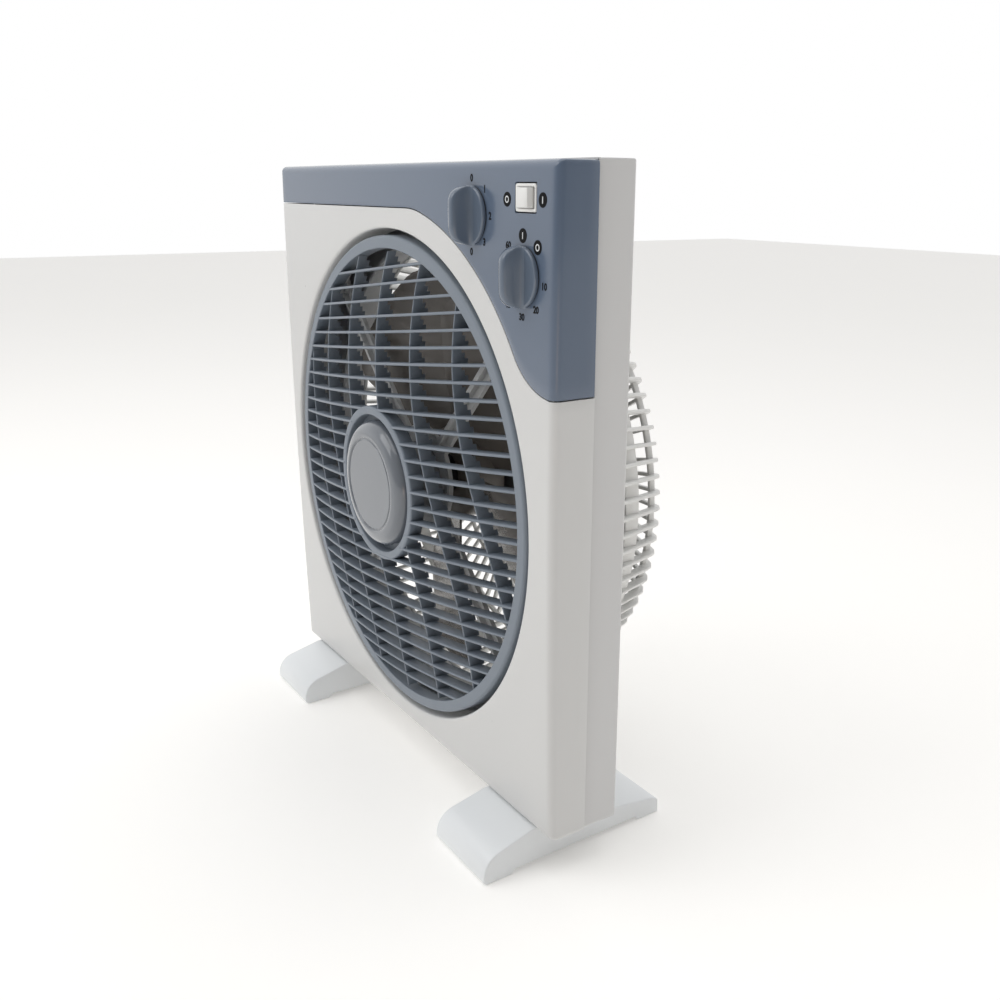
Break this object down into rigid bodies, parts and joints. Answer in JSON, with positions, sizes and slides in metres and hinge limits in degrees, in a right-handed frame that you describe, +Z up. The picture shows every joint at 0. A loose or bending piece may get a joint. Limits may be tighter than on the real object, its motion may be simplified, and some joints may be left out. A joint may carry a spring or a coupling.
{
  "type": "box fan",
  "caption": "Square box fan on two feet, with a turning dished louver disc, bladed rotor, domed rear guard, speed and timer dials and a rocker switch.",
  "frame": {"origin": "on the floor under the middle of the whole fan's box", "axes": "+X to the right seen from the front, +Y backwards out of the rear guard, +Z up"},
  "size_m": [0.368, 0.15, 0.411],
  "materials": {
    "case_white": "glossy moulded",
    "panel_grey": "glossy moulded",
    "louver_grey": "satin moulded",
    "cap_grey": "glossy moulded",
    "foot_white": "glossy moulded",
    "guard_white": "satin moulded",
    "blade_smoke": "clear tinted",
    "switch_white": "glossy moulded",
    "body_cream": "moulded",
    "black_plastic": "moulded",
    "wire_black": "soft",
    "zinc_steel": "zinc plated",
    "ground_steel": "ground",
    "core_steel": "laminated",
    "cast_alloy": "die cast",
    "copper": "enamelled",
    "bronze": "sintered"
  },
  "bodies": {
    "case": {"front_shell": "case_white", "control_panel": "panel_grey", "rear_shell": "case_white", "case_screws": "zinc_steel", "rear_guard": "guard_white", "guard_screws": "zinc_steel", "louver_motor": "zinc_steel", "louver_motor_screws": "zinc_steel", "front_spider": "guard_white", "spider_screws": "zinc_steel", "stator": "core_steel", "windings": "copper", "motor_front_cover": "cast_alloy", "motor_rear_cover": "cast_alloy", "shaft_bushes": "bronze", "motor_tie_screws": "zinc_steel", "motor_mount_screws": "zinc_steel", "speed_switch": "body_cream", "timer_unit": "body_cream", "switch_screws": "zinc_steel", "rocker_housing": "switch_white", "capacitor": "black_plastic", "cord_gland": "black_plastic", "wiring": "wire_black", "foot_left": "foot_white", "foot_right": "foot_white", "foot_screws": "zinc_steel"},
    "fan": {"fan_blade": "blade_smoke", "blade_nut": "panel_grey", "motor_shaft": "ground_steel", "rotor": "core_steel"},
    "louver": {"louver_disc": "louver_grey", "louver_cap": "cap_grey", "louver_shaft": "ground_steel", "louver_screw": "zinc_steel"},
    "speed_dial": {"speed_knob": "panel_grey", "speed_spindle": "body_cream"},
    "timer_dial": {"timer_knob": "panel_grey", "timer_spindle": "body_cream"},
    "rocker": {"rocker_paddle": "switch_white"}
  },
  "joints": [
    {"name": "fan_spin", "type": "hinge", "parent": "case", "child": "fan", "pos_m": [-0.0045, 0.013, 0.205], "axis": [0, 1, 0], "continuous": true},
    {"name": "louver_spin", "type": "hinge", "parent": "case", "child": "louver", "pos_m": [-0.0045, -0.039, 0.205], "axis": [0, 1, 0], "continuous": true},
    {"name": "speed_turn", "type": "hinge", "parent": "case", "child": "speed_dial", "pos_m": [0.1015, -0.039, 0.3804], "axis": [0, 1, 0], "range_deg": [0, 180]},
    {"name": "timer_turn", "type": "hinge", "parent": "case", "child": "timer_dial", "pos_m": [0.1533, -0.039, 0.351], "axis": [0, 1, 0], "range_deg": [0, 320]},
    {"name": "rocker_tilt", "type": "hinge", "parent": "case", "child": "rocker", "pos_m": [0.1554, -0.035, 0.3903], "axis": [0, 0, 1], "range_deg": [0, 16]}
  ]
}
